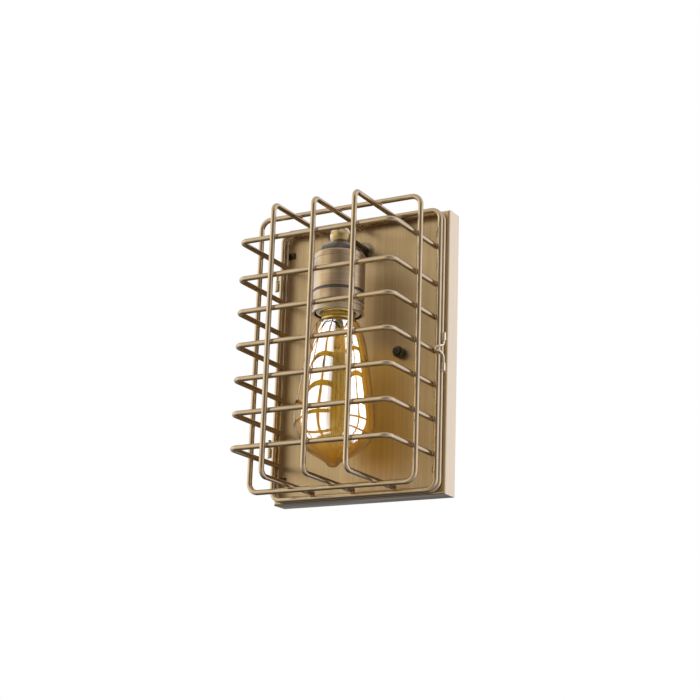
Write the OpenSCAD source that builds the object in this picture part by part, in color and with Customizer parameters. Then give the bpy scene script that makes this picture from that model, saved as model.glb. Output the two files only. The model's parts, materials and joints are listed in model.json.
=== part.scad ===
// Cage wall light: a folded backplate, a hinged door of welded wire with a spring clip,
// and a lamp socket that hangs from a short arm and holds a large clear bulb.
// Millimetres. The origin is the middle of the backplate's rear face, on the wall.
// +Z is up and the front of the light faces -Y.

/* [Backplate] */
// Width of the backplate, side to side
plate_w = 152.4; // [152:0.1:165]
// Height of the backplate
plate_h = 228.6; // [226:0.1:240]
// Depth of the folded pan, from the wall to its face
plate_d = 17; // [16:0.5:18]
// Thickness of its sheet
sheet_t = 1.2; // [1:0.1:1.5]
// Outer radius of its folded edges
fold_r = 1.6; // [1.6:0.1:2.4]

/* [Cage] */
// Depth of the whole light, from the wall to the front of the cage
light_d = 101.6; // [100:0.1:110]
// Width of the cage, over its rings
cage_w = 148.8; // [148:0.1:150]
// Height of the cage, over its rings
cage_h = 228.6; // [226:0.1:230]
// Diameter of the cage wire
wire_d = 4.2; // [4:0.1:4.3]
// Height between neighbouring cross bars
bar_gap = 27.1; // [26:0.1:28]
// Height between the two topmost cross bars
top_bar_gap = 31; // [29:0.1:32]
// Height of the lowest cross bar below the middle of the light
low_bar_drop = 84.4; // [84:0.1:85]
// Distance between neighbouring upright bars
upright_gap = 36.2; // [34:0.1:40]
// Bend radius of the bars, at the middle of the wire
bar_bend = 6; // [5:0.5:8]
// Bend radius of the rings' corners, at the middle of the wire
ring_bend = 8; // [6:0.5:12]
// Distance from the wall to the middle ring
mid_ring_d = 59.5; // [50:0.5:70]
// Clear gap between the fixed ring and the door's ring
ring_gap = 1.5; // [1.2:0.1:1.6]

/* [Hinges and clip] */
// Height of each hinge's middle, above and below the middle of the light
hinge_z = 70; // [66:0.5:72]
// Diameter of the hinge pins
pin_d = 1.6; // [1.4:0.1:1.8]
// Outer diameter of the hinge barrels
barrel_d = 3.8; // [3.6:0.1:4]
// Diameter of the clip's spring wire
clip_d = 1.7; // [1.5:0.1:1.7]

/* [Arm and socket] */
// Distance from the wall to the axis of the socket and the bulb
lamp_d = 56; // [55.5:0.1:56.5]
// Height of the arm's axis
arm_z = 89.3; // [89.2:0.1:89.6]
// Outer diameter of the arm's tube
arm_d = 9; // [8.8:0.1:9.2]
// Outer diameter of the socket's shell
shell_d = 40.4; // [40:0.1:41]
// Outer diameter of the knob that joins the arm to the socket
knob_d = 17.4; // [17:0.1:17.6]

/* [Bulb] */
// Largest diameter of the glass
bulb_d = 63.2; // [62:0.1:64]
// Number of filament strands
strands = 10; // [6:1:12]

/* [Wall bracket] */
// Distance of each stud from the middle of the light
stud_x = 36; // [35:0.1:37]
// Diameter of the studs
stud_d = 4.1; // [4:0.1:4.2]
// Smallest distance between the box screws that the slots take
box_near = 69.85; // [69:0.05:71]
// Largest distance between the box screws that the slots take
box_far = 88.9; // [88:0.05:89]

/* [Hidden] */
$fn = 64;
weld = 0.15;                 // how far welded wires sink into each other
fit = 0.05;                  // radial clearance of a part seated on its tube or stud
run = 0.05;                  // radial clearance of the hinge pins and the clip

wire_r = wire_d / 2;
ring_x = cage_w / 2 - wire_r;
ring_z = cage_h / 2 - wire_r;
bar_x = ring_x - wire_d + weld;
bar_z = ring_z - wire_d + weld;
upright_y = wire_r - light_d;
cross_y = upright_y + wire_d - weld;
foot_t = 1;
fixed_ring_y = weld - plate_d - foot_t - wire_r;
door_ring_y = fixed_ring_y - wire_d - ring_gap;
leg_end_y = door_ring_y + wire_r;

// Cross bars are numbered from the top
bar_count = 7;
function bar_height(i) = i == 1 ? bar_height(2) + top_bar_gap : (bar_count - i) * bar_gap - low_bar_drop;

// The fixed ring's four feet
foot_z = 95;
foot_w = 5;
foot_l = 8;
rivet_inset = 4.6;
rivet_r = 1.25;
rivet_head_r = 2.1;
rivet_head_h = 1.3;

// Hinges: a ribbed barrel on the fixed ring below, an eye on the door above
hinge_x = -(ring_x + 4.7);
hinge_y = door_ring_y;
hinge_h = 14.5;
barrel_h = 8;
barrel_ribs = 5;
eye_h = 5;
tab_t = 1.2;
pin_head_h = 0.8;

// Spring clip: a pivoting wire whose loop lies across the front of the door's ring
clip_r = clip_d / 2;
clip_x = ring_x + 3.25;
clip_y = fixed_ring_y - 2.2;
clip_front_y = door_ring_y - wire_r - clip_r - 0.35;
clip_tip_x = bar_x + wire_r + clip_r + 0.35;
clip_z = bar_height(4) + 0.3;
clip_sides = 12;
sleeve_h = 6.2;
sleeve_top_z = 4.8;
sleeve_low_z = -19.4;
sleeve_wall = 0.8;

// Arm, knob and socket, along the lamp's axis
lamp_y = -lamp_d;
arm_r = arm_d / 2;
arm_bore_r = 3.4;
arm_back_y = -6.5;
knob_r = knob_d / 2;
knob_low_z = 84.3;
knob_mid_z = 89.5;
knob_top_z = 97.1;
arm_front_y = lamp_y + 5.4;
shell_r = shell_d / 2;
shell_t = 0.8;
shell_low_z = 33.9;
shoulder_r = 1.2;
shoulder_z = 72.6;
lip_r = 19.5;
lip_z = shoulder_z + shoulder_r;
dome_r = 22.15;
dome_z = 63.28;
ring_low_z = 25.2;
ring_inner_r = 18.4;
thread_r = 13.4;

// Bulb: its outline from the drawn-out tip, over the belly, to the shoulder under the cap.
// Each point is a share of the largest radius and a height.
GLASS = [
    [0.052, -96.1], [0.108, -95.4], [0.152, -94], [0.203, -92.2], [0.304, -90.2], [0.43, -88], [0.589, -85],
    [0.741, -81], [0.864, -76], [0.949, -70], [0.991, -64], [1, -58], [0.978, -50], [0.93, -40], [0.861, -25],
    [0.797, -12], [0.726, 0], [0.655, 8], [0.604, 12.6], [0.565, 15.8], [0.525, 17.8], [0.46, 19.5]
];
bulb_r = bulb_d / 2;
glass_t = 0.8;
tip_z = -96.3;
neck_r = 12.5;
cap_r = 13.05;
cap_t = 0.35;
cap_low_z = 20;
cap_top_z = 41;
contact_z = 47.4;
thread_pitch = 3.629;        // seven threads to the inch

bar_t = 1.6;

CROSS_BARS = [for (i = [1 : bar_count]) str("cross_bar_", i)];
UPRIGHTS = [for (i = [1 : 3]) str("upright_bar_", i)];

// ---- shared forms ----

// A quarter bend of wire in the XY plane, from +X round to +Y
module elbow(bend_r) {
    rotate_extrude(angle = 90) translate([bend_r, 0]) circle(r = wire_r);
}

// A closed loop of wire with round corners, upright in the XZ plane
module wire_ring(y) {
    in_x = ring_x - ring_bend;
    in_z = ring_z - ring_bend;
    corners = [[in_x, in_z], [-in_x, in_z], [-in_x, -in_z], [in_x, -in_z]];
    translate([0, y, 0]) rotate([90, 0, 0]) {
        for (side = [-1, 1]) {
            translate([side * ring_x, 0, 0]) rotate([90, 0, 0]) cylinder(r = wire_r, h = 2 * in_z, center = true);
            translate([0, side * ring_z, 0]) rotate([0, 90, 0]) cylinder(r = wire_r, h = 2 * in_x, center = true);
        }
        for (i = [0 : 3]) translate(corners[i]) rotate([0, 0, 90 * i]) elbow(ring_bend);
    }
}

// A bar bent to a U in the XY plane: its front at front_y, its legs back to the door's ring
module u_bar(half, front_y) {
    bend_y = front_y + bar_bend;
    for (side = [-1, 1])
        translate([side * half, bend_y, 0]) rotate([-90, 0, 0]) cylinder(r = wire_r, h = leg_end_y - bend_y);
    translate([0, front_y, 0]) rotate([0, 90, 0]) cylinder(r = wire_r, h = 2 * (half - bar_bend), center = true);
    translate([half - bar_bend, bend_y, 0]) rotate([0, 0, -90]) elbow(bar_bend);
    translate([bar_bend - half, bend_y, 0]) rotate([0, 0, 180]) elbow(bar_bend);
}

// A cylinder along Y, from y0 to y1
module rod_y(r, y0, y1) {
    translate([0, y0, 0]) rotate([-90, 0, 0]) cylinder(r = r, h = y1 - y0);
}

// A hexagonal prism along Y, across_flats wide, from y0 to y1
module hex_y(across_flats, y0, y1) {
    translate([0, y0, 0]) rotate([-90, 0, 0]) cylinder(d = across_flats / cos(30), h = y1 - y0, $fn = 6);
}

// A bar of sheet with round corners, flat against the XZ plane
module flat_bar(w, h, corner) {
    square([w - 2 * corner, h], center = true);
    square([w, h - 2 * corner], center = true);
    for (x = [-1, 1], z = [-1, 1])
        translate([x * (w / 2 - corner), z * (h / 2 - corner)]) circle(r = corner);
}

// Stands a flat profile up in the XZ plane, from y0 back to y1
module stand(y0, y1) {
    translate([0, y1, 0]) rotate([90, 0, 0]) linear_extrude(y1 - y0) children();
}

// Places a turned form on the lamp's axis, at height z
module on_lamp(z = 0) {
    translate([0, lamp_y, z]) children();
}

// ---- backplate and wall bracket ----

// Section of a tray whose front corners are folded round; it runs back past the wall by over
module tray_section(w, d, r, over) {
    translate([-w / 2, r - d]) square([w, d - r + over]);
    translate([r - w / 2, -d]) square([w - 2 * r, d]);
    for (side = [-1, 1]) translate([side * (w / 2 - r), r - d]) circle(r = r);
}

module tray_block(w, h, d, r, over = 0) {
    intersection() {
        linear_extrude(h, center = true) tray_section(w, d, r, over);
        rotate([0, 90, 0]) linear_extrude(w, center = true) tray_section(h, d, r, over);
    }
}

// Repeats its children at the four feet of the fixed ring, inset from the ring's wire
module at_feet(inset) {
    for (x = [-1, 1], z = [-1, 1]) translate([x * (ring_x - inset), 0, z * foot_z]) children();
}

module backplate() {
    color("#a58e62") difference() {
        tray_block(plate_w, plate_h, plate_d, fold_r);
        tray_block(plate_w - 2 * sheet_t, plate_h - 2 * sheet_t, plate_d - sheet_t, fold_r - sheet_t, 1);
        translate([0, 0, arm_z]) rod_y(arm_r + fit, -plate_d - 1, 0);
        for (side = [-1, 1]) translate([side * stud_x, 0, 0]) rod_y(stud_d / 2 + 0.3, -plate_d - 1, 0);
        at_feet(rivet_inset) rod_y(rivet_r + fit, -plate_d - 1, 0);
    }
}

// Upright bar that screws to the junction box, with a slot at each end
module box_bar() {
    slot_r = 2.4;
    slot_mid = (box_near + box_far) / 4;
    slot_half = (box_far - box_near) / 4;
    color("silver") stand(-bar_t, 0) difference() {
        flat_bar(20, 106, 4);
        circle(r = 2.5 + fit);
        for (end = [-1, 1]) translate([0, end * slot_mid]) {
            square([2 * slot_r, 2 * slot_half], center = true);
            for (tip = [-1, 1]) translate([0, tip * slot_half]) circle(r = slot_r);
        }
    }
}

// Level bar that carries the studs, riveted to the middle of the box bar
ground_x = 16;
module stud_bar() {
    color("silver") stand(-2 * bar_t, -bar_t) difference() {
        flat_bar(2 * stud_x + 18, 16, 4);
        circle(r = 2.5 + fit);
        translate([ground_x, 0]) circle(r = 2.35);
        for (side = [-1, 1]) translate([side * stud_x, 0]) circle(r = stud_d / 2 + fit);
    }
}

module bar_rivet() {
    color("silver") {
        rod_y(2.5, -2 * bar_t, 0);
        rod_y(4, -2 * bar_t - 1.2, -2 * bar_t);
    }
}

module ground_screw() {
    color("#3f7d4b") translate([ground_x, 0, 0]) {
        rod_y(2.3, -2 * bar_t, -0.3);
        hex_y(8, -2 * bar_t - 3, -2 * bar_t);
    }
}

// The cap nuts close over the studs' front ends
cap_nut_r = 4.6;
cap_nut_l = 6.2;             // length of its body, behind the stepped and domed end
cap_neck_r = 3.3;
cap_neck_l = 9.4;
cap_dome_h = 1.8;
module mounting_studs() {
    color("#b8a06a") for (side = [-1, 1])
        translate([side * stud_x, 0, 0]) rod_y(stud_d / 2, -plate_d - 6.5, -0.3);
}

module lock_nuts() {
    color("silver") for (side = [-1, 1]) translate([side * stud_x, 0, 0]) difference() {
        hex_y(8.7, -2 * bar_t - 3.2, -2 * bar_t);
        rod_y(stud_d / 2 + fit, -2 * bar_t - 4, 0);
    }
}

module cap_nuts() {
    edge = 0.8;
    ball_r = (pow(cap_neck_r, 2) + pow(cap_dome_h, 2)) / (2 * cap_dome_h);
    color("#6d5a3a") for (side = [-1, 1])
        translate([side * stud_x, -plate_d, 0]) rotate([90, 0, 0]) difference() {
            rotate_extrude() {
                polygon([
                    [0, 0], [cap_nut_r, 0], [cap_nut_r, cap_nut_l], [cap_nut_r - edge, cap_nut_l + edge],
                    [cap_neck_r, cap_nut_l + edge], [cap_neck_r, cap_neck_l], [0, cap_neck_l]
                ]);
                intersection() {
                    translate([0, cap_neck_l + cap_dome_h - ball_r]) circle(r = ball_r);
                    translate([0, cap_neck_l]) square([cap_neck_r, cap_dome_h]);
                }
            }
            translate([0, 0, -1]) cylinder(r = stud_d / 2 + fit, h = 8);
        }
}

// ---- arm and socket ----

module arm_tube() {
    color("#8a744a") translate([0, 0, arm_z]) difference() {
        rod_y(arm_r, arm_front_y, arm_back_y);
        rod_y(arm_bore_r, arm_front_y - 1, arm_back_y + 1);
    }
}

// Stepped collar that dresses the arm's hole in the plate
module arm_collar() {
    color("#8a744a") translate([0, 0, arm_z]) difference() {
        union() {
            rod_y(8, -plate_d - 1.3, -plate_d);
            rod_y(7.1, -plate_d - 2.5, -plate_d);
            rod_y(6.3, -plate_d - 3.4, -plate_d);
        }
        rod_y(arm_r + fit, -plate_d - 4, -plate_d + 1);
    }
}

module arm_nut() {
    inner_face = sheet_t - plate_d;
    color("silver") translate([0, 0, arm_z]) difference() {
        hex_y(15, inner_face, inner_face + 4);
        rod_y(arm_r + fit, inner_face - 1, inner_face + 5);
    }
}

// Turned ball, cut flat above and below: the arm enters it from behind and the nipple from below
module arm_knob() {
    color("#a58e62") difference() {
        on_lamp() rotate_extrude() intersection() {
            translate([0, knob_mid_z]) circle(r = knob_r);
            translate([0, knob_low_z]) square([knob_r, knob_top_z - knob_low_z]);
        }
        translate([0, 0, arm_z]) {
            rod_y(arm_r + fit, arm_front_y, lamp_y + knob_r + 1);
            rod_y(arm_bore_r - 0.6, lamp_y - 1, arm_front_y + 1);
        }
        on_lamp(knob_low_z - 1) cylinder(r = 4.9 + fit, h = arm_z - knob_low_z - 1.5);
        on_lamp(knob_low_z) cylinder(r = arm_bore_r, h = arm_z - knob_low_z + 1);
    }
}

nipple_low_z = 77.5;
module socket_nipple() {
    color("silver") on_lamp(nipple_low_z) difference() {
        cylinder(r = 4.9, h = arm_z - 2.6 - nipple_low_z);
        translate([0, 0, -1]) cylinder(r = arm_bore_r, h = 20);
    }
}

dome_flat_t = 0.9;
module nipple_nut() {
    h = 3;
    color("silver") on_lamp(knob_low_z - dome_flat_t - h) difference() {
        cylinder(d = 12 / cos(30), h = h, $fn = 6);
        translate([0, 0, -1]) cylinder(r = 4.9 + fit, h = h + 2);
    }
}

// Spun dome between the knob and the shell
module socket_dome() {
    color("#5d4c33") on_lamp() rotate_extrude() difference() {
        union() {
            intersection() {
                translate([0, dome_z]) difference() {
                    circle(r = dome_r, $fn = 128);
                    circle(r = dome_r - shell_t, $fn = 128);
                }
                translate([0, lip_z]) square([lip_r, knob_low_z - lip_z]);
            }
            translate([0, knob_low_z - dome_flat_t]) square([7.6, dome_flat_t]);
        }
        square([4.9 + fit, knob_low_z + 1]);
    }
}

// Spun shell: a straight wall with two rolled grooves, a tight shoulder and a lip for the dome
module socket_shell() {
    shoulder_x = shell_r - shoulder_r;
    groove_z = 42.6;
    fine_groove_z = 68.8;
    color("#a58e62") on_lamp() rotate_extrude() difference() {
        union() {
            translate([shell_r - shell_t, shell_low_z]) square([shell_t, shoulder_z - shell_low_z]);
            translate([shell_r - 2.2 * shell_t, groove_z - 1.6]) square([1.5 * shell_t, 3.2]);
            intersection() {
                translate([shoulder_x, shoulder_z]) difference() {
                    circle(r = shoulder_r);
                    circle(r = shoulder_r - shell_t);
                }
                translate([lip_r - 0.3, shoulder_z]) square([shell_r, lip_z - shoulder_z]);
            }
            translate([lip_r - 2.5, lip_z - shell_t]) square([2.6, shell_t]);
        }
        translate([shell_r + 0.35, groove_z]) circle(r = 1.15, $fn = 32);
        translate([shell_r + 0.1, fine_groove_z]) circle(r = 0.45, $fn = 32);
    }
}

// Shade ring round the foot of the holder: a bead on its wall and a rim below
module socket_ring() {
    bead_r = 0.9;
    bead_z = 31.2;
    wall_r = shell_r - 0.6;
    rim_r = shell_r + 0.3;
    top_z = shell_low_z - 0.4;
    color("#a58e62") on_lamp() rotate_extrude() {
        polygon([
            [ring_inner_r, ring_low_z], [rim_r - 0.4, ring_low_z], [rim_r, ring_low_z + 0.4],
            [rim_r, ring_low_z + 1.3], [wall_r, ring_low_z + 2], [wall_r + 0.3, top_z], [ring_inner_r, top_z]
        ]);
        translate([wall_r, bead_z]) circle(r = bead_r, $fn = 32);
    }
}

// Glazed holder inside the shell: a flange in the shade ring, a cup for the screw shell, a solid head
module lamp_insulator() {
    flange_z = ring_low_z + 0.6;
    color("#e6e0d4") on_lamp() difference() {
        union() {
            translate([0, 0, flange_z]) cylinder(r = ring_inner_r - 0.25, h = 33 - flange_z);
            translate([0, 0, 33]) cylinder(r = shell_r - 2.4, h = 36);
        }
        translate([0, 0, flange_z - 1]) cylinder(r = thread_r + 0.6 + fit, h = 51 - flange_z);
        translate([0, 0, 49]) cylinder(r = 2.6, h = 21);
    }
}

module thread_shell() {
    color("#c9a24a") on_lamp() difference() {
        translate([0, 0, 32]) cylinder(r = thread_r + 0.6, h = 17.8);
        translate([0, 0, 31]) cylinder(r = thread_r, h = 20);
    }
}

// Springy tongue over the bulb's contact, held by a rivet through the holder
module centre_contact() {
    color("#c9a24a") on_lamp() {
        translate([-2.5, -3, contact_z + 0.3]) cube([5, 11, 0.5]);
        translate([-2.5, 7.5, contact_z + 0.3]) cube([5, 0.5, 2.3]);
        translate([-2.5, -3, contact_z + 2.1]) cube([5, 11, 0.5]);
        translate([0, 0, contact_z + 2.1]) cylinder(r = 2.5, h = 18);
    }
}

// ---- fixed ring and door hardware ----

module fixed_ring() {
    color("#a5906a") wire_ring(fixed_ring_y);
}

module ring_feet() {
    color("#a5906a") difference() {
        at_feet(foot_l / 2 - 1.2)
            translate([-foot_l / 2, -plate_d - foot_t, -foot_w / 2]) cube([foot_l, foot_t, foot_w]);
        at_feet(rivet_inset) rod_y(rivet_r + fit, -plate_d - foot_t - 1, -plate_d + 1);
    }
}

module foot_rivets() {
    face_y = -plate_d - foot_t;
    ball_r = (pow(rivet_head_r, 2) + pow(rivet_head_h, 2)) / (2 * rivet_head_h);
    color("#6d5a3a") at_feet(rivet_inset) {
        translate([0, face_y, 0]) rotate([90, 0, 0]) rotate_extrude() intersection() {
            translate([0, rivet_head_h - ball_r]) circle(r = ball_r);
            square([rivet_head_r, rivet_head_h]);
        }
        rod_y(rivet_r, face_y, sheet_t - plate_d);
        rod_y(2, sheet_t - plate_d, sheet_t - plate_d + 0.8);
    }
}

// Ribbed barrel with its tab, which passes behind the door's ring to the fixed ring
module hinge_barrel(z) {
    rib = barrel_h / barrel_ribs;
    low_z = z - hinge_h / 2;
    reach = [-ring_x - hinge_x, fixed_ring_y - hinge_y];
    color("#c2aa7c") difference() {
        translate([hinge_x, hinge_y, low_z]) {
            rotate_extrude() {
                square([barrel_d / 2 - 0.35, barrel_h]);
                for (i = [0 : barrel_ribs - 1])
                    translate([barrel_d / 2 - 0.7, (i + 0.5) * rib]) circle(r = 0.7, $fn = 24);
            }
            rotate([0, 0, atan2(reach.y, reach.x)])
                translate([0, -tab_t / 2, 1]) cube([norm(reach) - wire_r + 0.3, tab_t, barrel_h - 2]);
        }
        translate([hinge_x, hinge_y, low_z - 1]) cylinder(d = pin_d + 0.04, h = barrel_h + 2, $fn = 32);
    }
}

// Eye that turns on the pin above the barrel, with its tab to the door's ring
module hinge_eye(z) {
    low_z = z - hinge_h / 2 + barrel_h + 0.35;
    color("#c2aa7c") translate([hinge_x, hinge_y, low_z]) difference() {
        union() {
            cylinder(d = barrel_d, h = eye_h);
            translate([0, -tab_t / 2, 0.6]) cube([-ring_x - hinge_x - wire_r + 0.3, tab_t, eye_h - 1.2]);
        }
        translate([0, 0, -1]) cylinder(d = pin_d + 2 * run, h = eye_h + 2, $fn = 32);
    }
}

module hinge_pin(z) {
    color("#8a744a") translate([hinge_x, hinge_y, z - hinge_h / 2]) {
        cylinder(d = pin_d, h = hinge_h - pin_head_h, $fn = 32);
        translate([0, 0, hinge_h - pin_head_h]) cylinder(r = 1.4, h = pin_head_h, $fn = 32);
    }
}

// Sleeve crimped round the fixed ring; the clip's end turns in its outer eye
module clip_sleeve(low_z) {
    reach = [clip_x - ring_x, clip_y - fixed_ring_y];
    color("#c2aa7c") translate([ring_x, fixed_ring_y, low_z]) linear_extrude(sleeve_h) difference() {
        union() {
            circle(r = wire_r + sleeve_wall);
            translate(reach) circle(r = clip_r + sleeve_wall);
            rotate([0, 0, atan2(reach.y, reach.x)]) translate([0, -1]) square([norm(reach), 2]);
        }
        circle(r = wire_r);
        translate(reach) circle(r = clip_r + run);
    }
}

// Points along a path whose inner corners are rounded by short curves of reach cut
function corner_curve(a, b, c, cut) =
    let (p = b + cut * (a - b) / norm(a - b), q = b + cut * (c - b) / norm(c - b))
    [for (t = [0 : 0.2 : 1]) pow(1 - t, 2) * p + 2 * t * (1 - t) * b + pow(t, 2) * q];
function rounded_path(p, cut) = concat(
    [p[0]],
    [for (i = [1 : len(p) - 2]) each corner_curve(p[i - 1], p[i], p[i + 1], cut[i])],
    [p[len(p) - 1]]
);

// Unit vectors across a path at point i, one of them as near to guide as can be
function unit(v) = v / norm(v);
function along(p, i) = unit(p[min(i + 1, len(p) - 1)] - p[max(i - 1, 0)]);
function across(p, i, guide) = let (t = along(p, i)) unit(guide - (guide * t) * t);

// A round wire swept along a path
module swept_wire(path, r, sides, guide) {
    last = len(path) - 1;
    points = [for (i = [0 : last], k = [0 : sides - 1])
        let (u = across(path, i, guide), v = cross(along(path, i), u), a = 360 * k / sides)
        path[i] + r * (cos(a) * u + sin(a) * v)];
    walls = [for (i = [0 : last - 1], k = [0 : sides - 1])
        let (n = (k + 1) % sides)
        [i * sides + k, (i + 1) * sides + k, (i + 1) * sides + n, i * sides + n]];
    ends = [[for (k = [0 : sides - 1]) k], [for (k = [sides - 1 : -1 : 0]) last * sides + k]];
    polyhedron(points = points, faces = concat(walls, ends), convexity = 6);
}

// The clip's wire: down its pivot, out round the door's ring to a hairpin loop and back
module latch_clip() {
    knee = 4.4;
    elbow_z = 2;
    tip = [clip_tip_x, clip_front_y, clip_z];
    route = [
        [clip_x, clip_y, sleeve_top_z + sleeve_h - 0.4],
        [clip_x, clip_y, clip_z + knee],
        [clip_x, clip_front_y, clip_z + elbow_z],
        tip + [0, 0, 1],
        tip - [0, 0, 1],
        [clip_x, clip_front_y, clip_z - elbow_z],
        [clip_x, clip_y, clip_z - knee],
        [clip_x, clip_y, sleeve_low_z + 0.4]
    ];
    cuts = [0, 1.8, 1.6, 0.9, 0.9, 1.6, 1.8, 0];
    color("#e0cfa4") swept_wire(rounded_path(route, cuts), clip_r, clip_sides, [1, 0.4, 0.2]);
}

// ---- cage door ----

module door_ring() {
    color("#a5906a") wire_ring(door_ring_y);
}

module middle_ring() {
    color("#a5906a") wire_ring(-mid_ring_d);
}

module cross_bar(i) {
    color("#a5906a") translate([0, 0, bar_height(i)]) u_bar(bar_x, cross_y);
}

module upright_bar(i) {
    color("#a5906a") translate([(i - 2) * upright_gap, 0, 0]) rotate([0, 90, 0]) u_bar(bar_z, upright_y);
}

// ---- bulb ----

// Outline point i, moved in square to the outline by wall
function glass_point(i, wall) =
    let (last = len(GLASS) - 1, at = [GLASS[i][0] * bulb_r, GLASS[i][1]])
    let (before = GLASS[max(i - 1, 0)], after = GLASS[min(i + 1, last)])
    let (way = unit([(after[0] - before[0]) * bulb_r, after[1] - before[1]]))
    at + wall * [-way.y, way.x];

module bulb_glass() {
    last = len(GLASS) - 1;
    inner_first = 3;
    color("#d9a441", 0.35) on_lamp() rotate_extrude($fn = 96) polygon(concat(
        [[0, tip_z]],
        [for (i = [0 : last]) glass_point(i, 0)],
        [[neck_r, cap_low_z], [neck_r, cap_low_z + 4], [neck_r - glass_t, cap_low_z + 4]],
        [[neck_r - glass_t, cap_low_z - glass_t]],
        [for (i = [last - 1 : -1 : inner_first]) glass_point(i, glass_t)],
        [[0, GLASS[inner_first][1] + 1.4 * glass_t]]
    ));
}

module bulb_cap() {
    color("#c9a24a") on_lamp() rotate_extrude() polygon([
        [cap_r - cap_t, cap_low_z + 0.05], [cap_r, cap_low_z + 0.05], [cap_r, cap_top_z],
        [8.6, cap_top_z + 3], [8.6 - cap_t, cap_top_z + 3 - cap_t], [cap_r - cap_t, cap_top_z - cap_t]
    ]);
}

module bulb_insulator() {
    color("#2b2724") on_lamp(cap_top_z + 2) cylinder(r1 = 8.4, r2 = 5, h = contact_z - cap_top_z - 3.1);
}

module bulb_contact() {
    color("silver") on_lamp(contact_z - 1.1) {
        cylinder(r = 4.5, h = 0.6);
        cylinder(r = 3.6, h = 1.1);
    }
}

// Glass mount: a flare sealed into the neck and a stem that carries the mast
stem_low_z = -2;
module bulb_stem() {
    color("#e8e2cf", 0.4) on_lamp() rotate_extrude() polygon([
        [0, cap_low_z + 3], [neck_r - glass_t, cap_low_z + 3], [7, cap_low_z + 1], [4.2, cap_low_z - 5],
        [3.4, cap_low_z - 14], [3.2, stem_low_z + 4], [2.2, stem_low_z], [0, stem_low_z]
    ]);
}

// Mast with a hub of hooks at each end
mast_low_z = -80;
hook_top = [5.4, -6];
hook_low = [6.6, -76];
module filament_mast() {
    color("#b08a45") on_lamp() {
        translate([0, 0, mast_low_z]) cylinder(r = 0.6, h = stem_low_z - mast_low_z);
        for (hook = [hook_top, hook_low]) {
            translate([0, 0, hook[1] - 0.7]) cylinder(r = 1.5, h = 1.4);
            for (i = [0 : strands - 1]) rotate([0, 0, 360 * i / strands])
                translate([0.9, 0, hook[1]]) rotate([0, 90, 0]) cylinder(r = 0.2, h = hook[0] - 0.5, $fn = 16);
        }
    }
}

// Strands strung between the hooks, leaning a little round the mast
module filament() {
    lean = 180 / strands;
    color("#e0a040") on_lamp() for (i = [0 : strands - 1]) {
        a = 360 * i / strands;
        top = [hook_top[0] * cos(a), hook_top[0] * sin(a), hook_top[1] - 0.5];
        low = [hook_low[0] * cos(a + lean), hook_low[0] * sin(a + lean), hook_low[1] + 0.5];
        run_v = top - low;
        translate(low) rotate([0, acos(run_v.z / norm(run_v)), atan2(run_v.y, run_v.x)])
            cylinder(r = 0.2, h = norm(run_v), $fn = 16);
    }
}

backplate();
box_bar();
stud_bar();
bar_rivet();
ground_screw();
mounting_studs();
lock_nuts();
cap_nuts();
arm_tube();
arm_collar();
arm_nut();
arm_knob();
socket_nipple();
nipple_nut();
socket_dome();
socket_shell();
socket_ring();
lamp_insulator();
thread_shell();
centre_contact();
fixed_ring();
ring_feet();
foot_rivets();
hinge_barrel(hinge_z);  // hinge_barrel_top
hinge_barrel(-hinge_z);  // hinge_barrel_bottom
hinge_pin(hinge_z);  // hinge_pin_top
hinge_pin(-hinge_z);  // hinge_pin_bottom
clip_sleeve(sleeve_top_z);  // clip_sleeve_top
clip_sleeve(sleeve_low_z);  // clip_sleeve_bottom
latch_clip();
door_ring();
middle_ring();
hinge_eye(hinge_z);  // hinge_eye_top
hinge_eye(-hinge_z);  // hinge_eye_bottom
for (i = [1 : bar_count]) cross_bar(i);
for (i = [1 : 3]) upright_bar(i);
bulb_glass();
bulb_cap();
bulb_insulator();
bulb_contact();
bulb_stem();
filament_mast();
filament();
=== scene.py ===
"""Cage wall light in aged brass: materials, fine pieces, camera and studio."""
import json
import math

import bmesh
import bpy
from mathutils import Matrix, Vector


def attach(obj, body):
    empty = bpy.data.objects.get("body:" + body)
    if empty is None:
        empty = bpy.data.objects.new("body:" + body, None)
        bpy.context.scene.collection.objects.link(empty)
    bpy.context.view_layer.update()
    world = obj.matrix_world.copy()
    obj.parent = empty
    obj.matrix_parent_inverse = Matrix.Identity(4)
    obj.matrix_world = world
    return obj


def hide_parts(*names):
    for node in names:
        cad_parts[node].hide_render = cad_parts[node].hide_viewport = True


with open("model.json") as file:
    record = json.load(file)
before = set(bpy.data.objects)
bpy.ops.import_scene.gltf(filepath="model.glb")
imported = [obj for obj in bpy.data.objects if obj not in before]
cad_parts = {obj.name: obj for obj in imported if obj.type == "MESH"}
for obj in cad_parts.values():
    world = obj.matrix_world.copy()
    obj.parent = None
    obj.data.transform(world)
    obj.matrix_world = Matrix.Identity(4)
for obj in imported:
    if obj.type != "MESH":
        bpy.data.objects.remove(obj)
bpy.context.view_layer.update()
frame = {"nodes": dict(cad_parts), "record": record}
nodes = frame["nodes"]

MM = 0.001
LAMP = Vector((0, -56, 0)) * MM  # a point on the axis of the socket and the bulb


def linear(red, green, blue):
    """A colour given as 0 to 255 on screen, as the linear colour that shaders take."""

    def channel(value):
        value /= 255
        return value / 12.92 if value <= 0.04045 else ((value + 0.055) / 1.055) ** 2.4

    return (channel(red), channel(green), channel(blue), 1)


# ---- node trees ----


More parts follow.
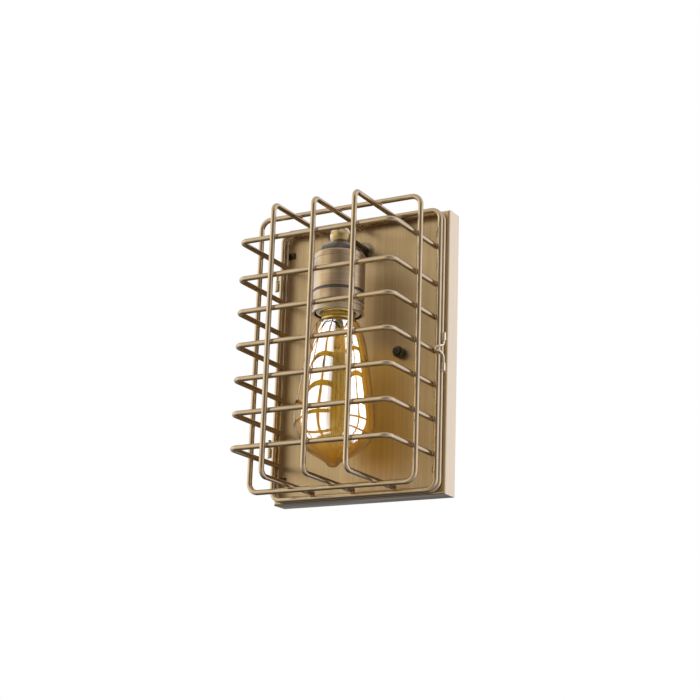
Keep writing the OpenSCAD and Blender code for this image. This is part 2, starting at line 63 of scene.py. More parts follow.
class Tree:
    """Adds nodes to one node tree and links them by name."""

    def __init__(self, tree):
        self.tree = tree
        tree.nodes.clear()

    def add(self, kind, settings=None, **inputs):
        """A node. An input is named, with _ for each space, or is _ and its number."""
        node = self.tree.nodes.new(kind)
        for name, value in (settings or {}).items():
            setattr(node, name, value)
        for name, value in inputs.items():
            self.feed(node, name, value)
        return node

    def feed(self, node, name, value):
        key = int(name[1:]) if name[0] == "_" else name.replace("_", " ")
        socket = node.inputs[key]
        if isinstance(value, bpy.types.NodeSocket):
            self.tree.links.new(value, socket)
        else:
            socket.default_value = value

    def math(self, operation, first, second=0.0, clamp=False):
        settings = {"operation": operation, "use_clamp": clamp}
        return self.add("ShaderNodeMath", settings, _0=first, _1=second).outputs[0]

    def mix(self, factor, first, second):
        """A colour between first and second."""
        node = self.add("ShaderNodeMix", {"data_type": "RGBA"}, Factor=factor, _6=first, _7=second)
        return node.outputs[2]

    def span(self, value, low, high, to_low=0.0, to_high=1.0):
        """value moved from the range low to high into to_low to to_high, and kept inside it."""
        node = self.add(
            "ShaderNodeMapRange", None, Value=value, From_Min=low, From_Max=high, To_Min=to_low,
            To_Max=to_high,
        )
        return node.outputs[0]

    def band(self, value, low, high, soft):
        """1 between low and high, falling to 0 over soft on either side."""
        rise = self.span(value, low - soft, low + soft)
        return self.math("MULTIPLY", rise, self.span(value, high + soft, high - soft))

    def noise(self, vector, scale, detail, roughness):
        node = self.add(
            "ShaderNodeTexNoise", None, Vector=vector, Scale=scale, Detail=detail,
            Roughness=roughness,
        )
        return node.outputs["Fac"]

    def bump(self, strength, distance, height, settings=None):
        node = self.add(
            "ShaderNodeBump", settings, Strength=strength, Distance=distance, Height=height,
        )
        return node.outputs[0]

    def place(self):
        return self.add("ShaderNodeTexCoord").outputs["Object"]

    def facing(self):
        """0 where the surface is seen square on, rising to 1 where it is seen edge on."""
        return self.add("ShaderNodeLayerWeight", None, Blend=0.5).outputs["Facing"]

    def split(self, vector):
        return self.add("ShaderNodeSeparateXYZ", None, Vector=vector).outputs

    def joined(self, x, y, z):
        return self.add("ShaderNodeCombineXYZ", None, _0=x, _1=y, _2=z).outputs[0]

    def about_lamp(self):
        """Angle, Radius and Height about the lamp's axis."""
        node = self.add("ShaderNodeGroup", {"node_tree": ROUND_LAMP}, Place=self.place())
        return node.outputs


def new_group(name, inputs, outputs):
    """A shader node group. A socket's default says its kind, and None stands for a vector."""
    group = bpy.data.node_groups.new(name, "ShaderNodeTree")
    tree = Tree(group)
    kinds = {float: "NodeSocketFloat", tuple: "NodeSocketColor"}
    for way, sockets in (("INPUT", inputs), ("OUTPUT", outputs)):
        for label, value in sockets.items():
            kind = kinds.get(type(value), "NodeSocketVector")
            socket = group.interface.new_socket(name=label, in_out=way, socket_type=kind)
            if value is not None:
                socket.default_value = value
    given = tree.add("NodeGroupInput").outputs
    return group, tree, given, tree.add("NodeGroupOutput")


MOTTLE_SCALE = 900.0
MOTTLE_ROUGHENS = 0.25


def build_patina():
    """Aged metal: broad clouds of a darker tone, and small mottling that also roughens it."""
    inputs = {
        "Metal": (0.5, 0.4, 0.2, 1.0), "Tarnish": (0.2, 0.15, 0.08, 1.0), "Place": None,
        "Cloud Size": 60.0, "Cloud Amount": 0.5, "Mottle Amount": 0.3, "Roughness": 0.35,
    }
    outputs = {"Color": (0.5, 0.5, 0.5, 1.0), "Roughness": 0.3, "Height": 0.0}
    group, tree, given, sink = new_group("patina", inputs, outputs)
    place, mottling = given["Place"], given["Mottle Amount"]
    clouds = tree.noise(place, given["Cloud Size"], detail=3.0, roughness=0.6)
    clouds = tree.span(clouds, low=0.35, high=0.7)
    mottle = tree.noise(place, MOTTLE_SCALE, detail=3.0, roughness=0.65)
    mottle = tree.span(mottle, low=0.3, high=0.75)
    amount = tree.math("MULTIPLY", clouds, given["Cloud Amount"])
    amount = tree.math("ADD", amount, tree.math("MULTIPLY", mottle, mottling), clamp=True)
    tree.feed(sink, "Color", tree.mix(amount, given["Metal"], given["Tarnish"]))
    uneven = tree.math("MULTIPLY", tree.math("SUBTRACT", mottle, 0.5), mottling)
    uneven = tree.math("MULTIPLY", uneven, MOTTLE_ROUGHENS)
    tree.feed(sink, "Roughness", tree.math("ADD", given["Roughness"], uneven))
    tree.feed(sink, "Height", mottle)
    return group


STROKES_BROAD_SCALE = 0.22
STROKES_FINE_SHARE, STROKES_BROAD_SHARE = 0.7, 0.3


def build_strokes():
    """Long fine lines left by a brush or a spinning tool: Tone runs from 0 in a dark line to 1.

    Fine is the noise's scale across x and y, and Length its scale along z.
    """
    inputs = {"Place": None, "Fine": 1400.0, "Length": 9.0}
    group, tree, given, sink = new_group("strokes", inputs, {"Tone": 0.5, "Height": 0.0})
    x, y, z = tree.split(given["Place"])
    x, y = (tree.math("MULTIPLY", side, given["Fine"]) for side in (x, y))
    stretched = tree.joined(x, y, tree.math("MULTIPLY", z, given["Length"]))
    fine = tree.noise(stretched, 1.0, detail=4.0, roughness=0.7)
    broad = tree.noise(stretched, STROKES_BROAD_SCALE, detail=2.0, roughness=0.5)
    fine_part = tree.math("MULTIPLY", fine, STROKES_FINE_SHARE)
    tone = tree.math("ADD", fine_part, tree.math("MULTIPLY", broad, STROKES_BROAD_SHARE))
    tree.feed(sink, "Tone", tree.span(tone, low=0.36, high=0.62))
    tree.feed(sink, "Height", fine)
    return group


def build_round_lamp():
    """Where a point lies about the lamp's axis.

    Angle is in turns, from -0.5 to 0.5, and Radius and Height are in metres.
    """
    outputs = {"Angle": 0.0, "Radius": 0.0, "Height": 0.0}
    group, tree, given, sink = new_group("round_lamp", {"Place": None}, outputs)
    x, y, z = tree.split(given["Place"])
    forward = tree.math("SUBTRACT", LAMP.y, y)
    angle = tree.math("ARCTAN2", x, forward)
    tree.feed(sink, "Angle", tree.math("DIVIDE", angle, math.tau))
    squares = [tree.math("MULTIPLY", side, side) for side in (x, forward)]
    tree.feed(sink, "Radius", tree.math("SQRT", tree.math("ADD", *squares)))
    tree.feed(sink, "Height", z)
    return group


PATINA = build_patina()
STROKES = build_strokes()
ROUND_LAMP = build_round_lamp()


# ---- materials ----


def new_material(name):
    material = bpy.data.materials.new(name)
    material.use_nodes = True
    return material, Tree(material.node_tree)


def finish_material(material, tree, **inputs):
    """Gives the material its one shader, with the given inputs."""
    shader = tree.add("ShaderNodeBsdfPrincipled", None, **inputs)
    tree.add("ShaderNodeOutputMaterial", None, Surface=shader.outputs[0])
    return material


def add_patina(tree, metal, tarnish, roughness, cloud_size, clouds, mottle):
    patina = tree.add(
        "ShaderNodeGroup", {"node_tree": PATINA}, Metal=metal, Tarnish=tarnish, Place=tree.place(),
        Roughness=roughness, Cloud_Size=cloud_size, Cloud_Amount=clouds, Mottle_Amount=mottle,
    )
    return patina.outputs


def painted_edge_on_tone(tree, color, pale, start=0.3, full=0.75):
    """Turns the colour towards pale the flatter the surface is seen: painted sheen where pale is
    lighter than the metal, painted shade where it is darker.
    """
    return tree.mix(tree.span(tree.facing(), start, full), color, pale)


EDGE_ON_SHEEN = linear(226, 212, 198)  # painted sheen of brass seen edge on
GROOVE_SHADE = linear(104, 100, 104)  # painted shade in a rolled groove
PAINTED_BORE_SHADOW = linear(30, 26, 24)  # painted shadow on the wall of the shade ring's bore

BUMP_DISTANCE = 0.0001
PATINA_BUMP_STRENGTH = 0.05


def aged_brass(
    name, metal, tarnish, roughness, clouds=0.5, mottle=0.3, cloud_size=60.0, coat=0.25, pale=EDGE_ON_SHEEN,
    start=0.3, full=0.75,
):
    """Satin metal under a thin lacquer, with patina but no strokes."""
    material, tree = new_material(name)
    patina = add_patina(tree, metal, tarnish, roughness, cloud_size, clouds, mottle)
    color = patina["Color"]
    if pale:
        # Painted edge tone from pale: sheen where it is lighter than the metal, shade where it is
        # darker.
        color = painted_edge_on_tone(tree, color, pale, start, full)
    return finish_material(
        material, tree, Base_Color=color, Metallic=1.0, Roughness=patina["Roughness"],
        Coat_Weight=coat, Coat_Roughness=0.22,
        Normal=tree.bump(PATINA_BUMP_STRENGTH, BUMP_DISTANCE, patina["Height"]),
    )


GROOVE_EDGE = 0.0002


def brushed_brass(
    name, metal, tarnish, line, roughness, fine, length, depth, mottle=0.1, bump=0.12, across=0.0,
    pale=EDGE_ON_SHEEN, grooves=(),
):
    """Brass with strokes left by a brush or a lathe, over the same patina.

    fine and length shape the strokes, depth is how far they turn to the colour line, and across
    spreads the gloss across them. grooves are (height, half width) pairs, in metres, where painted
    shade darkens a rolled groove.
    """
    material, tree = new_material(name)
    patina = add_patina(
        tree, metal, tarnish, roughness, cloud_size=22.0, clouds=0.35, mottle=mottle,
    )
    strokes = tree.add(
        "ShaderNodeGroup", {"node_tree": STROKES}, Place=tree.place(), Fine=fine, Length=length,
    ).outputs
    lined = tree.span(strokes["Tone"], 0.0, 1.0, depth, 0.0)
    # Painted sheen where the brass is seen edge on, in the colour pale.
    color = painted_edge_on_tone(tree, tree.mix(lined, patina["Color"], line), pale)
    # Painted shade in each rolled groove.
    for middle, half in grooves:
        height = tree.about_lamp()["Height"]
        groove = tree.band(height, middle - half, middle + half, GROOVE_EDGE)
        color = tree.mix(groove, color, GROOVE_SHADE)
    return finish_material(
        material, tree, Base_Color=color, Metallic=1.0, Roughness=patina["Roughness"],
        Anisotropic=across, Coat_Weight=0.2, Coat_Roughness=0.3,
        Normal=tree.bump(bump, BUMP_DISTANCE, strokes["Height"]),
    )


KNURL_COUNT = 90.0
KNURL_PITCH = 0.0011
KNURL_LOW, KNURL_HIGH = 0.0262, 0.0346
KNURL_DEPTH = 0.0003
RING_INSIDE = 0.0186  # radius of the ring's bore


def knurled_brass(name, metal, groove, roughness):
    """Turned brass whose wall is cut with a fine diamond knurl between two heights.

    The knurl's cuts are darkened as painted shade, and the wall of the bore is painted near black
    as its shadow.
    """
    material, tree = new_material(name)
    patina = add_patina(tree, metal, groove, roughness, cloud_size=60.0, clouds=0.3, mottle=0.2)
    about = tree.about_lamp()
    turns = tree.math("MULTIPLY", about["Angle"], KNURL_COUNT)
    rows = tree.math("DIVIDE", about["Height"], KNURL_PITCH)
    waves = []
    for sign in ("ADD", "SUBTRACT"):
        phase = tree.math("MULTIPLY", tree.math(sign, turns, rows), math.tau)
        waves.append(tree.span(tree.math("SINE", phase), -1, 1))
    wall = tree.band(about["Height"], KNURL_LOW, KNURL_HIGH, 0.0003)
    cut = tree.math("MULTIPLY", tree.math("MULTIPLY", *waves), wall)
    # groove is both the tarnish and the painted shade in the knurl's cuts.
    color = tree.mix(tree.math("MULTIPLY", cut, 0.75), patina["Color"], groove)
    # Painted sheen where the ring is seen edge on.
    color = painted_edge_on_tone(tree, color, EDGE_ON_SHEEN)
    # Painted shadow on the wall of the bore.
    inside = tree.span(about["Radius"], RING_INSIDE + 0.0001, RING_INSIDE - 0.0001)
    color = tree.mix(inside, color, PAINTED_BORE_SHADOW)
    return finish_material(
        material, tree, Base_Color=color, Metallic=1.0, Roughness=patina["Roughness"],
        Coat_Weight=0.2, Coat_Roughness=0.3,
        Normal=tree.bump(0.5, KNURL_DEPTH, cut, {"invert": True}),
    )


def glazed(name, color, shade, roughness):
    """Glazed ceramic or dark vitreous glass, with faint clouds."""
    material, tree = new_material(name)
    patina = add_patina(tree, color, shade, roughness, cloud_size=90.0, clouds=0.5, mottle=0.15)
    return finish_material(
        material, tree, Base_Color=patina["Color"], Metallic=0.0, Roughness=patina["Roughness"],
        Coat_Weight=0.6, Coat_Roughness=0.05,
    )


COIL_PITCH = 0.0008


def coiled_wire(name, metal, tarnish_and_gap_shade, roughness):
    """Fine wire wound into a coil: its turns are rings along the strand in the bump, with painted
    shade in the gaps between them.
    """
    material, tree = new_material(name)
    patina = add_patina(tree, metal, tarnish_and_gap_shade, roughness, cloud_size=120.0, clouds=0.15, mottle=0.1)
    phase = tree.math("MULTIPLY", tree.about_lamp()["Height"], math.tau / COIL_PITCH)
    ring = tree.math("SINE", phase)
    # Painted shade between the coil's turns, in the tarnish colour.
    color = tree.mix(tree.span(ring, -0.2, -0.9, 0.0, 0.45), patina["Color"], tarnish_and_gap_shade)
    return finish_material(
        material, tree, Base_Color=color, Metallic=0.7, Roughness=patina["Roughness"],
        Normal=tree.bump(0.6, 0.0002, ring),
    )


FOLDS_ROUND = 70.0
FOLDS_START, FOLDS_FULL = -0.068, -0.088


def clear_glass(name, tint, deep, coat=0.0, coat_ior=1.5, blown=False):
    """Clear tinted glass with slight ripples, deeper where it is seen edge on.

    blown adds fine folds that run down to the tip, where the flame has left the surface dull.
    """
    material, tree = new_material(name)
    ripple = tree.noise(tree.place(), 30.0, detail=2.0, roughness=0.4)
    height = tree.math("MULTIPLY", ripple, 0.3)
    edge_on = tree.span(tree.facing(), low=0.25, high=0.8)
    amount = tree.math("ADD", tree.span(ripple, 0.3, 0.7, 0.0, 0.15), edge_on, clamp=True)
    roughness = 0.0
    if blown:
        about = tree.about_lamp()
        round_tip = tree.joined(tree.math("MULTIPLY", about["Angle"], FOLDS_ROUND), 0.0, 0.0)
        fold = tree.noise(round_tip, 1.0, detail=3.0, roughness=0.6)
        low = tree.span(about["Height"], FOLDS_START, FOLDS_FULL)
        fold = tree.math("MULTIPLY", tree.span(fold, low=0.35, high=0.65), low)
        height = tree.math("ADD", height, fold)
        folded = tree.math("MULTIPLY", low, tree.span(fold, 0.0, 1.0, 0.1, 0.5))
        amount = tree.math("ADD", amount, folded, clamp=True)
        roughness = tree.span(about["Height"], -0.086, -0.09, 0.0, 0.12)
        coat = tree.span(about["Height"], -0.083, -0.089, coat, 0.0)
    return finish_material(
        material, tree, Base_Color=tree.mix(amount, tint, deep), Metallic=0.0, Roughness=roughness,
        IOR=1.5, Transmission_Weight=1.0, Coat_Weight=coat, Coat_Roughness=0.0, Coat_IOR=coat_ior,
        Normal=tree.bump(0.35, 0.0004, height),
    )


SPUN = {"fine": 12.0, "length": 1500.0, "mottle": 0.04, "bump": 0.08}

FINISH_OF_SLOT = {
    "plate_brass": brushed_brass(
        "plate_brass", linear(212, 185, 144), linear(194, 167, 126), linear(157, 132, 96), 0.4,
        fine=1700.0, length=7.0, depth=0.45, across=0.6,
    ),
    # pale is darker than the metal here: painted shade along the wires where they are seen edge on.
    "wire_brass": aged_brass(
        "wire_brass", linear(200, 177, 146), linear(170, 148, 120), 0.16, clouds=0.4, mottle=0.15,
        coat=0.12, pale=linear(134, 120, 106), start=0.4, full=0.9,
    ),
    "bright_brass": aged_brass(
        "bright_brass", linear(246, 236, 210), linear(206, 188, 152), 0.16, clouds=0.4, mottle=0.2,
        coat=0.4,
    ),
    "dark_brass": aged_brass(
        "dark_brass", linear(84, 73, 58), linear(56, 48, 39), 0.3, pale=linear(98, 89, 80),
    ),
    "socket_brass": brushed_brass(
        "turned_brass", linear(206, 180, 126), linear(176, 150, 104), linear(142, 120, 82), 0.28,
        depth=0.4, **SPUN,
    ),
    "lamp_brass": aged_brass(
        "lamp_brass", linear(252, 218, 124), linear(228, 184, 80), 0.28, clouds=0.3, mottle=0.1,
        pale=None,
    ),
    "zinc_steel": aged_brass(
        "zinc_steel", linear(196, 198, 196), linear(140, 144, 146), 0.36, cloud_size=140.0,
        pale=None,
    ),
    "green_steel": aged_brass(
        "green_screw", linear(52, 132, 70), linear(24, 74, 40), 0.35, pale=None,
    ),
    "holder": glazed("holder_glaze", linear(238, 234, 228), linear(222, 216, 208), 0.2),
    "cap_glass": glazed("cap_glass", linear(24, 22, 22), linear(12, 12, 12), 0.12),
    "solder": aged_brass(
        "solder", linear(176, 176, 172), linear(120, 120, 118), 0.4, pale=None,
    ),
    "filament": coiled_wire("filament_wire", linear(255, 250, 200), linear(190, 144, 60), 0.3),
    "bulb_glass": clear_glass(
        "bulb_glass", linear(252, 234, 158), linear(242, 190, 44), coat=1.0, coat_ior=1.8,
        blown=True,
    ),
    "stem_glass": clear_glass("stem_glass", linear(250, 240, 214), linear(240, 220, 170)),
}
FINISH_OF_NODE = {
    # The shell's rolled groove is darkened with painted shade.
    "socket_shell": brushed_brass(
        "spun_brass", linear(210, 184, 150), linear(181, 155, 122), linear(141, 118, 94), 0.34,
        depth=0.45, pale=linear(196, 182, 166), grooves=((0.0426, 0.0012),), **SPUN,
    ),
    "socket_ring": knurled_brass(
        "knurled_brass", linear(214, 194, 162), linear(140, 120, 96), 0.36,
    ),
    "arm_collar": aged_brass(
        "collar_brass", linear(167, 155, 138), linear(117, 105, 92), 0.22, mottle=0.1,
    ),
}
for part in frame["record"]["subparts"]:
    name = part["node"]
    mesh = nodes[name].data
    mesh.materials.clear()
    mesh.materials.append(FINISH_OF_NODE.get(name, FINISH_OF_SLOT[part["material_slot"]]))


# ---- pieces: their sizes are in millimetres ----


def new_object(name, mesh, material):
    """An object in the scene from a bmesh, which is freed."""
    data = bpy.data.meshes.new(name)
    mesh.to_mesh(data)
    mesh.free()
    data.materials.append(material)
    made = bpy.data.objects.new(name, data)
    bpy.context.scene.collection.objects.link(made)
    return made


def new_piece(name, mesh, body, slot, replaced=()):
    """A smooth piece with the finish of its slot, in place of the nodes that it replaces."""
    piece = new_object(name, mesh, FINISH_OF_SLOT[slot])
    for face in piece.data.polygons:
        face.use_smooth = True
    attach(piece, body)
    if replaced:
        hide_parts(*replaced)


def on_lamp(radius, height):
    return LAMP.x + radius * MM, LAMP.y, height * MM


def spun(profile, steps=96):
    """A turned form about the lamp's axis, from (radius, height) points."""
    mesh = bmesh.new()
    points = [mesh.verts.new(on_lamp(*point)) for point in profile]
    edges = [mesh.edges.new(pair) for pair in zip(points, points[1:])]
    bmesh.ops.spin(
        mesh, geom=points + edges, cent=LAMP, axis=(0, 0, 1), angle=math.tau, steps=steps,
        use_merge=True,
    )
    bmesh.ops.remove_doubles(mesh, verts=mesh.verts, dist=1e-6)
    bmesh.ops.recalc_face_normals(mesh, faces=mesh.faces)
    return mesh


def smooth_line(points, parts):
    """Points along a smooth curve through the given points, parts steps from each to the next."""

    def between(a, b, c, d, t):
        slope, bend, twist = c - a, 2 * a - 5 * b + 4 * c - d, 3 * b - a - 3 * c + d
        return 0.5 * (2 * b + slope * t + bend * t * t + twist * t ** 3)

    curve = []
    ends = [points[0]] + points + [points[-1]]
    for near in zip(ends, ends[1:], ends[2:], ends[3:]):
        for step in range(parts):
            curve.append(tuple(between(*sides, step / parts) for sides in zip(*near)))
    return curve + [points[-1]]


BULB_RADIUS = 31.6
GLASS_WALL = 0.7
TIP = (0, -96.3)
# From the tip up to the neck: radius as a share of BULB_RADIUS, and height.
GLASS_OUTLINE = [TIP] + [(share * BULB_RADIUS, height) for share, height in (
    (0.052, -96.1), (0.108, -95.4), (0.152, -94), (0.203, -92.2), (0.304, -90.2), (0.43, -88),
    (0.589, -85), (0.741, -81), (0.864, -76), (0.949, -70), (0.991, -64), (1, -58), (0.978, -50),
    (0.93, -40), (0.861, -25), (0.797, -12), (0.726, 0), (0.655, 8), (0.604, 12.6), (0.565, 15.8),
    (0.525, 17.8), (0.46, 19.5), (0.396, 20), (0.396, 24),
)]


def bulb_glass():
    """The blown envelope, with an even wall from the drawn-out tip to the neck."""
    mesh = spun(smooth_line(GLASS_OUTLINE, parts=3), steps=128)
    bmesh.ops.solidify(mesh, geom=mesh.faces, thickness=GLASS_WALL * MM)
    return mesh


# A closed outline, as radius and height.
HOLDER_OUTLINE = [
    (14.1, 26.6), (14.3, 26.1), (14.8, 25.9), (17.0, 25.9), (17.4, 26.1), (17.6, 26.6), (17.6, 69),
    (2.6, 69), (2.6, 50), (14.1, 50), (14.1, 26.6),
]

CAP_RADIUS = 13.05
CAP_LOW, CAP_TOP = 20.05, 41
CAP_SHEET = 0.3
THREAD_LOW, THREAD_HIGH = CAP_LOW + 5.4, CAP_TOP - 0.6
THREAD_PITCH = 3.629
THREAD_DEPTH = 0.64
THREAD_TURNS = 7
WAVE_POINTS = 8  # in one pitch
TURN_STEPS = 48  # in one turn


def cap_thread():
    """The rolled thread of the screw cap: one wave spun up a helix, then cut level at both ends."""
    mesh = bmesh.new()
    points = []
    for step in range(WAVE_POINTS + 1):
        part = step / WAVE_POINTS
        depth = THREAD_DEPTH / 2 * (1 - math.cos(math.tau * part))
        height = THREAD_LOW + THREAD_PITCH * (part - 1.5)
        points.append(mesh.verts.new(on_lamp(CAP_RADIUS - depth, height)))
    edges = [mesh.edges.new(pair) for pair in zip(points, points[1:])]
    bmesh.ops.spin(
        mesh, geom=points + edges, cent=LAMP, axis=(0, 0, 1),
        dvec=(0, 0, THREAD_PITCH * MM / TURN_STEPS), angle=math.tau * THREAD_TURNS,
        steps=TURN_STEPS * THREAD_TURNS,
    )
    bmesh.ops.remove_doubles(mesh, verts=mesh.verts, dist=2e-5)
    for height, way in ((THREAD_LOW, -1), (THREAD_HIGH, 1)):
        bmesh.ops.bisect_plane(
            mesh, geom=mesh.verts[:] + mesh.edges[:] + mesh.faces[:], plane_co=(0, 0, height * MM),
            plane_no=(0, 0, way), clear_outer=True,
        )
    bmesh.ops.recalc_face_normals(mesh, faces=mesh.faces)
    bmesh.ops.solidify(mesh, geom=mesh.faces, thickness=CAP_SHEET * MM)
    return mesh


# Closed outlines, as radius and height above CAP_LOW or CAP_TOP.
SKIRT_OUTLINE = (
    (12.6, 5.6), (12.7, 0.3), (12.8, 0), (13.0, 0.15), (CAP_RADIUS, 0.5), (CAP_RADIUS, 1.1),
    (12.9, 1.5), (12.9, 5.2), (12.6, 5.6),
)
SHOULDER_OUTLINE = (
    (12.3, -0.8), (12.9, -0.8), (12.6, -0.1), (8.6, 3), (8.3, 2.6), (12.3, -0.8),
)


def cap_ends():
    """The cap's smooth rolled skirt below the thread and its shoulder above."""
    mesh = bmesh.new()
    for outline, level in ((SKIRT_OUTLINE, CAP_LOW), (SHOULDER_OUTLINE, CAP_TOP)):
        end = spun([(radius, level + height) for radius, height in outline], steps=64)
        data = bpy.data.meshes.new("cap_end")
        end.to_mesh(data)
        end.free()
        mesh.from_mesh(data)
        bpy.data.meshes.remove(data)
    return mesh


STRANDS = 10
STRAND_R = 0.6
HOOK_TOP, HOOK_LOW = (5.4, -6), (6.6, -76)  # radius about the mast, and height
HOOK_GRIP = 0.5
SLEEVE_R, SLEEVE_LENGTH = 0.75, 1.2
SLEEVE_INSET = 0.005  # as a share of the strand's length


def add_rod(mesh, place, radius, length, sides):
    """A round rod with bevelled rims, along place's z axis and centred on it."""
    verts = bmesh.ops.create_cone(
        mesh, cap_ends=True, segments=sides, radius1=radius * MM, radius2=radius * MM,
        depth=length * MM, matrix=place,
    )["verts"]
    edges = dict.fromkeys(edge for vert in verts for edge in vert.link_edges)
    rims = [edge for edge in edges if len({len(face.verts) for face in edge.link_faces}) > 1]
    bmesh.ops.bevel(
        mesh, geom=rims, offset=radius * 0.35 * MM, affect="EDGES", segments=2, profile=0.5,
        material=-1,
    )


def filament_strands():
    """Coiled strands from hook to hook, leaning a little round the mast, clamped at both ends."""
    mesh = bmesh.new()
    lean = math.pi / STRANDS
    for index in range(STRANDS):
        angle = math.tau * index / STRANDS
        ends = []
        for (radius, height), around in (
            ((HOOK_LOW[0], HOOK_LOW[1] + HOOK_GRIP), angle + lean),
            ((HOOK_TOP[0], HOOK_TOP[1] - HOOK_GRIP), angle),
        ):
            point = Vector((radius * math.cos(around), radius * math.sin(around), height))
            ends.append(LAMP + point * MM)
        low, top = ends
        run = top - low
        turn = run.to_track_quat("Z", "X").to_matrix().to_4x4()
        for middle, radius, length, sides in (
            (0.5, STRAND_R, run.length / MM, 12),
            (SLEEVE_INSET, SLEEVE_R, SLEEVE_LENGTH, 8),
            (1 - SLEEVE_INSET, SLEEVE_R, SLEEVE_LENGTH, 8),
        ):
            place = Matrix.Translation(low + run * middle) @ turn
            add_rod(mesh, place, radius, length, sides)
    return mesh


WIRE_R = 2.1
BAR_X, BAR_Z = 68.25, 108.15  # how far out the legs of the level bars and of the uprights run
BAR_HEIGHTS = [82.1] + [51.1 - 27.1 * i for i in range(6)]
UPRIGHTS = [-36.2, 0, 36.2]
FRONT_Y = -97.475  # where the uprights cross the level bars
RINGS_Y = (-25.65, -59.5)
BEAD_WIDE, BEAD_FLAT = 2.2, 0.9


def weld_beads():
    """A small flattened bead of weld at each place where two wires of the door touch."""
    facing_x, facing_y, facing_z = (
        [BEAD_FLAT if axis == flat else BEAD_WIDE for axis in range(3)] for flat in range(3)
    )
    touch = [((x, FRONT_Y, z), facing_y) for x in UPRIGHTS for z in BAR_HEIGHTS]
    for ring_y in RINGS_Y:
        for side in (-1, 1):
            beside, beyond = side * (BAR_X + WIRE_R), side * (BAR_Z + WIRE_R)
            touch += [((beside, ring_y, z), facing_x) for z in BAR_HEIGHTS]
            touch += [((x, ring_y, beyond), facing_z) for x in UPRIGHTS]
    mesh = bmesh.new()
    for place, size in touch:
        matrix = Matrix.Translation(Vector(place) * MM) @ Matrix.Diagonal((*size, 1))
        bmesh.ops.create_icosphere(mesh, subdivisions=2, radius=MM, matrix=matrix)
    return mesh


new_piece("bulb_envelope", bulb_glass(), "bulb", "bulb_glass", ["bulb_glass"])
new_piece("lamp_holder", spun(HOLDER_OUTLINE), "wall_unit", "holder", ["lamp_insulator"])
new_piece("bulb_screw_cap", cap_thread(), "bulb", "lamp_brass", ["bulb_cap"])
new_piece("bulb_cap_ends", cap_ends(), "bulb", "lamp_brass")
new_piece("filament_strands", filament_strands(), "bulb", "filament", ["filament"])
new_piece("weld_beads", weld_beads(), "cage_door", "wire_brass")


# ---- camera ----

IMAGE_SIZE = 700
FOCAL_PIXELS = 1642.6
SENSOR = 36  # millimetres
CAMERA_AT = Vector((619.74, -1115.42, -348.04)) * MM
AZIMUTH, ELEVATION, ROLL = (math.radians(angle) for angle in (29.848, -15.70, 1.969))


def build_camera():
    data = bpy.data.cameras.new("camera")
    data.sensor_width = SENSOR
    data.lens = FOCAL_PIXELS / IMAGE_SIZE * SENSOR
    data.clip_end = 20
    camera = bpy.data.objects.new("camera", data)
    bpy.context.scene.collection.objects.link(camera)
    bpy.context.scene.camera = camera
    level = math.cos(ELEVATION)
    back = Vector((math.sin(AZIMUTH) * level, -math.cos(AZIMUTH) * level, math.sin(ELEVATION)))
    right = Vector((math.cos(AZIMUTH), math.sin(AZIMUTH), 0))
    up = back.cross(right)
    rolled_right = right * math.cos(ROLL) + up * math.sin(ROLL)
    rolled_up = up * math.cos(ROLL) - right * math.sin(ROLL)
    turn = Matrix((rolled_right, rolled_up, back)).transposed()
    camera.matrix_world = Matrix.Translation(CAMERA_AT) @ turn.to_4x4()


build_camera()


# ---- studio ----

# Brightness of the light tent in rows, from low to high. A row's levels are evenly spaced round
# the object, from the back by the left, the front and the right. The top is one level.
TENT_FLOOR = (0.05, 0.1, 0.4, 0.55)
TENT_LOW = (0.45, 0.15, 0.7, 1.15, 1.35, 1.1, 0.56, 0.34, 0.6, 1.04, 1.35, 1.3)
TENT_MIDDLE = (1.1, 1.1, 1.45, 1.7, 1.85, 1.1, 0.34, 0.02, 0.4, 1.15, 1.5, 1.25)
TENT_TOP = 0.85
TENT_HEIGHTS = (-0.75, -0.2, 0.3, 0.8)  # z of the direction where each row is full
TENT_BRIGHTEST = 2.0  # a ramp's colours stop at 1, so they hold levels as shares of this

# The tent's two lit walls, as a mirror shows them: headings in degrees from the front.
LEFT_PANEL, RIGHT_PANEL = (-76, 18), (65, 136)
LEFT_FADE = (2, 20)
PANEL_LOW, PANEL_HIGH = -0.74, 0.93
PANEL_STRENGTH = 7.5
MIRRORED_TENT = 0.25  # how much of the tent between the panels a mirror shows

WARM_SIDE = (-100, 30)
WARM, COOL, PANEL_WHITE = (1, 0.97, 0.86, 1), (0.97, 0.99, 1.04, 1), (0.92, 0.98, 1.08, 1)
WHITE = (1, 1, 1, 1)


def tent_row(sky, turn, levels):
    """One row of the tent's brightness, joined smoothly all round."""
    row = sky.add("ShaderNodeValToRGB", None, Fac=turn)
    stops = row.color_ramp.elements
    for step in range(1, len(levels)):
        stops.new(step / len(levels))
    for stop, level in zip(stops, levels + levels[:1]):
        stop.color = (*[level / TENT_BRIGHTEST] * 3, 1)
    return row.outputs["Color"]


def tent(sky, heading, z):
    """Brightness of the tent, by heading and height."""
    turn = sky.span(heading, -math.pi, math.pi)
    rows = [tent_row(sky, turn, levels) for levels in (TENT_FLOOR, TENT_LOW, TENT_MIDDLE)]
    rows.append((*[TENT_TOP / TENT_BRIGHTEST] * 3, 1))
    strength = rows[0]
    for low, high, row in zip(TENT_HEIGHTS, TENT_HEIGHTS[1:], rows[1:]):
        strength = sky.mix(sky.span(z, low, high), strength, row)
    return sky.math("MULTIPLY", strength, TENT_BRIGHTEST)


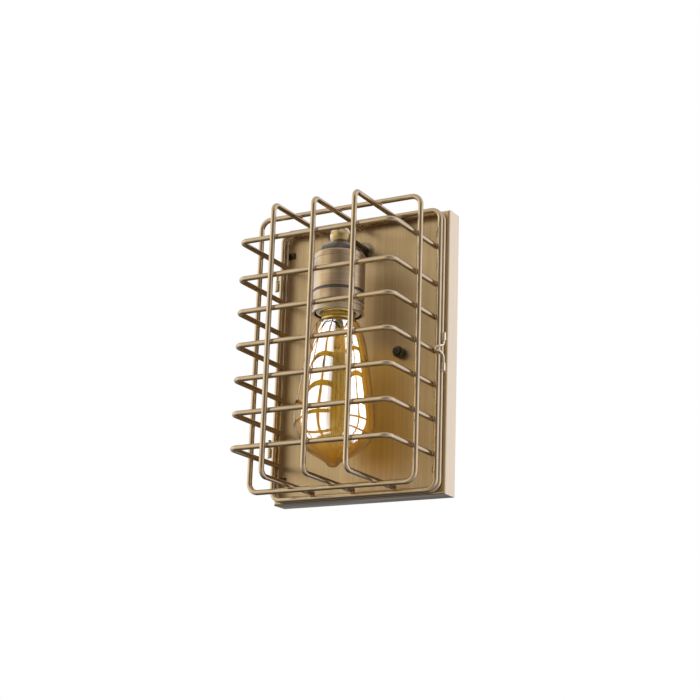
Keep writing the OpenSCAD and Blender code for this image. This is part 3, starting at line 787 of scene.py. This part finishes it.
def lit_panels(sky, heading, z):
    """1 on the two lit walls, and less where the left one fades towards the front."""
    left = sky.band(heading, *map(math.radians, LEFT_PANEL), 0.04)
    fade = sky.span(heading, *map(math.radians, LEFT_FADE), 1.0, 0.3)
    right = sky.band(heading, *map(math.radians, RIGHT_PANEL), 0.05)
    panels = sky.math("ADD", sky.math("MULTIPLY", left, fade), right)
    return sky.math("MULTIPLY", panels, sky.band(z, PANEL_LOW, PANEL_HIGH, 0.05))


def mirrored_by_glass(sky, rays):
    """1 for a ray that has only been mirrored by polished glass, and else 0."""
    mirrored = sky.math("MULTIPLY", rays["Is Singular Ray"], rays["Is Glossy Ray"])
    outside = sky.math("SUBTRACT", 1.0, rays["Is Transmission Ray"])
    once = sky.math("LESS_THAN", rays["Glossy Depth"], 1.5)
    return sky.math("MULTIPLY", sky.math("MULTIPLY", mirrored, outside), once)


def seen_directly(sky, rays):
    """1 for a ray that shows the background itself, also through clear glass, and else 0."""
    straight = sky.math("LESS_THAN", rays["Glossy Depth"], 0.5)
    through = sky.math("MULTIPLY", rays["Is Transmission Ray"], straight)
    return sky.math("MAXIMUM", rays["Is Camera Ray"], through)


def build_studio_world():
    """A light tent: bright cloth to the left and right, a soft top, and open in front and below.

    Metal sees the tent as an even glow. Polished glass mirrors its two lit walls as bright panels.
    The background itself is plain white.
    """
    world = bpy.data.worlds.new("studio")
    bpy.context.scene.world = world
    world.use_nodes = True
    sky = Tree(world.node_tree)
    x, y, z = sky.split(sky.add("ShaderNodeTexCoord").outputs["Generated"])
    heading = sky.math("ARCTAN2", x, sky.math("MULTIPLY", y, -1.0))
    rays = sky.add("ShaderNodeLightPath").outputs
    mirrored, seen = mirrored_by_glass(sky, rays), seen_directly(sky, rays)
    dimmed = sky.span(mirrored, 0.0, 1.0, 1.0, MIRRORED_TENT)
    strength = sky.math("MULTIPLY", tent(sky, heading, z), dimmed)
    panels = sky.math("MULTIPLY", lit_panels(sky, heading, z), mirrored)
    strength = sky.math("ADD", strength, sky.math("MULTIPLY", panels, PANEL_STRENGTH))
    warm = sky.band(heading, *map(math.radians, WARM_SIDE), 0.5)
    tint = sky.mix(mirrored, sky.mix(warm, COOL, WARM), PANEL_WHITE)
    light = sky.add(
        "ShaderNodeBackground", None, Color=sky.mix(seen, tint, WHITE),
        Strength=sky.mix(seen, strength, WHITE),
    )
    sky.add("ShaderNodeOutputWorld", None, Surface=light.outputs[0])


FLOOR_Z = -0.75
FLOOR_HALF = 4


def build_floor():
    """A pale floor well below the light, which metal doesn't mirror."""
    mesh = bmesh.new()
    bmesh.ops.create_grid(
        mesh, x_segments=1, y_segments=1, size=FLOOR_HALF,
        matrix=Matrix.Translation((0, 0, FLOOR_Z)),
    )
    material, tree = new_material("pale_floor")
    clouds = tree.noise(tree.place(), 3.0, detail=2.0, roughness=0.5)
    tone = tree.mix(clouds, (0.8, 0.8, 0.8, 1), (0.84, 0.84, 0.84, 1))
    finish_material(material, tree, Base_Color=tone, Roughness=0.9)
    floor = new_object("floor", mesh, material)
    floor.visible_glossy = False


build_studio_world()
build_floor()

bpy.context.scene.view_settings.view_transform = "Standard"
